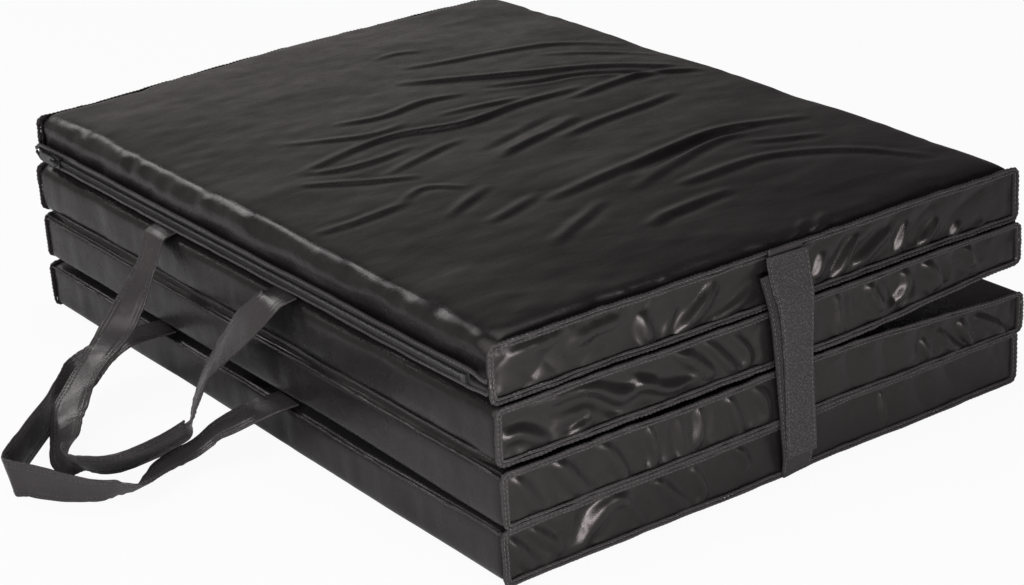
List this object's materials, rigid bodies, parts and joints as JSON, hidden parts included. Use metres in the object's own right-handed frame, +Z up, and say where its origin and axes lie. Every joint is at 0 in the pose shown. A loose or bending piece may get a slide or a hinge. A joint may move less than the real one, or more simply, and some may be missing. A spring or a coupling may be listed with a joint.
{
  "type": "folding exercise mat",
  "caption": "Panelled gymnastics mat folded in a stack: foam in zipped nylon covers joined by cloth folds, with webbing carrying handles and hook-and-loop closing straps.",
  "frame": {"origin": "middle of the bottom panel's underside, on the floor", "axes": "+X across the folds, away from the handles; +Y along the folds, away from the closing straps; +Z up"},
  "size_m": [0.6255, 0.621, 0.1675],
  "materials": {
    "black_nylon": "satin",
    "grey_foam": "matte",
    "black_webbing": "satin",
    "black_nylon_coil": "satin",
    "black_painted_zinc": "satin"
  },
  "bodies": {
    "bottom_panel": {"bottom_panel_foam": "grey_foam", "bottom_panel_cover": "black_nylon", "bottom_panel_front_gusset": "black_nylon", "bottom_panel_rear_gusset": "black_nylon", "lower_fold_web": "black_nylon", "loop_strap": "black_webbing"},
    "lower_panel": {"lower_panel_foam": "grey_foam", "lower_panel_cover": "black_nylon", "lower_panel_front_gusset": "black_nylon", "lower_panel_rear_gusset": "black_nylon", "middle_fold_web": "black_nylon"},
    "upper_panel": {"upper_panel_foam": "grey_foam", "upper_panel_cover": "black_nylon", "upper_panel_front_gusset": "black_nylon", "upper_panel_rear_gusset": "black_nylon", "upper_fold_web": "black_nylon"},
    "top_panel": {"top_panel_foam": "grey_foam", "top_panel_cover": "black_nylon", "top_panel_front_gusset": "black_nylon", "top_panel_rear_gusset": "black_nylon", "hook_strap_tab": "black_webbing", "zip_tape": "black_webbing", "zip_coil": "black_nylon_coil", "zip_front_stop": "black_painted_zinc", "zip_rear_stop": "black_painted_zinc"},
    "upper_handle": {"upper_handle": "black_webbing"},
    "lower_handle": {"lower_handle": "black_webbing"},
    "hook_strap": {"hook_strap": "black_webbing"},
    "zip_slider": {"zip_slider": "black_painted_zinc"},
    "zip_pull": {"zip_pull": "black_painted_zinc"}
  },
  "joints": [
    {"name": "lower_fold", "type": "hinge", "parent": "bottom_panel", "child": "lower_panel", "pos_m": [0.225, 0, 0.03955], "axis": [0, 1, 0], "range_deg": [0, 180], "deforming": ["lower_fold_web", "loop_strap"]},
    {"name": "middle_fold", "type": "hinge", "parent": "lower_panel", "child": "upper_panel", "pos_m": [-0.2279, 0, 0.08025], "axis": [0, -1, 0], "range_deg": [0, 180], "deforming": ["middle_fold_web", "upper_handle", "lower_handle"]},
    {"name": "upper_fold", "type": "hinge", "parent": "upper_panel", "child": "top_panel", "pos_m": [0.225, 0, 0.12095], "axis": [0, 1, 0], "range_deg": [0, 180], "deforming": ["upper_fold_web"]},
    {"name": "upper_handle_swing", "type": "hinge", "parent": "top_panel", "child": "upper_handle", "pos_m": [-0.2258, 0.0235, 0.12095], "axis": [0, 1, 0], "range_deg": [0, 90]},
    {"name": "lower_handle_swing", "type": "hinge", "parent": "bottom_panel", "child": "lower_handle", "pos_m": [-0.2258, 0.0235, 0.03955], "axis": [0, 1, 0], "range_deg": [0, 45]},
    {"name": "hook_strap_flip", "type": "hinge", "parent": "top_panel", "child": "hook_strap", "pos_m": [0.008, -0.304, 0.1585], "axis": [-1, 0, 0], "range_deg": [0, 180]},
    {"name": "zip_slide", "type": "slide", "parent": "top_panel", "child": "zip_slider", "axis": [0, -1, 0], "range_m": [-0.018, 0.52]},
    {"name": "zip_pull_swing", "type": "hinge", "parent": "zip_slider", "child": "zip_pull", "pos_m": [-0.22955, 0.257, 0.1341], "axis": [0, 0, 1], "range_deg": [0, 180]}
  ]
}
